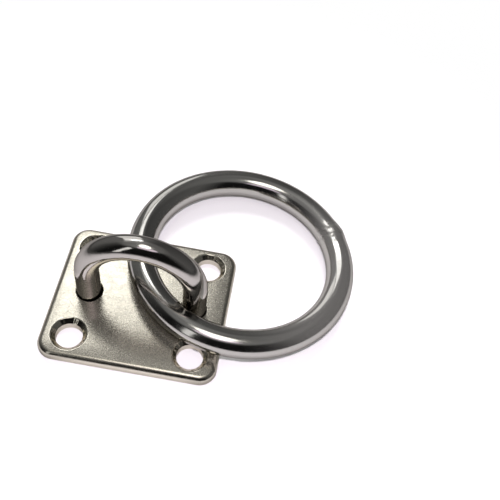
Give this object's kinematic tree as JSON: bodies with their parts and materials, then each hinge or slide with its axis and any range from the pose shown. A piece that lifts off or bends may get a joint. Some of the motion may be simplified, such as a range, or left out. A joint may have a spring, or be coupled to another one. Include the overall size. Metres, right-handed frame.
{
  "type": "eye plate with ring",
  "caption": "Stainless eye plate: rounded plate with countersunk screw holes, a bow of round rod and a loose welded ring through it.",
  "frame": {"origin": "middle of the plate's flat underside, which is the mounting face", "axes": "+Z out of the mounting face towards the bow, +X along the plate's long side towards the side where the ring lies, +Y along its short side"},
  "size_m": [0.0614, 0.0538, 0.023],
  "materials": {
    "plate_steel": "satin",
    "bow_steel": "polished",
    "weld_steel": "satin",
    "ring_steel": "polished"
  },
  "bodies": {
    "plate": {"base_plate": "plate_steel", "bow": "bow_steel", "bow_weld_left": "weld_steel", "bow_weld_right": "weld_steel"},
    "ring": {"ring": "ring_steel"}
  },
  "joints": [
    {"name": "ring_swing", "type": "hinge", "parent": "plate", "child": "ring", "pos_m": [0.00271, -0.00055, 0.00608], "axis": [0.6561, -0.7547, 0], "range_deg": [0, 185]}
  ]
}
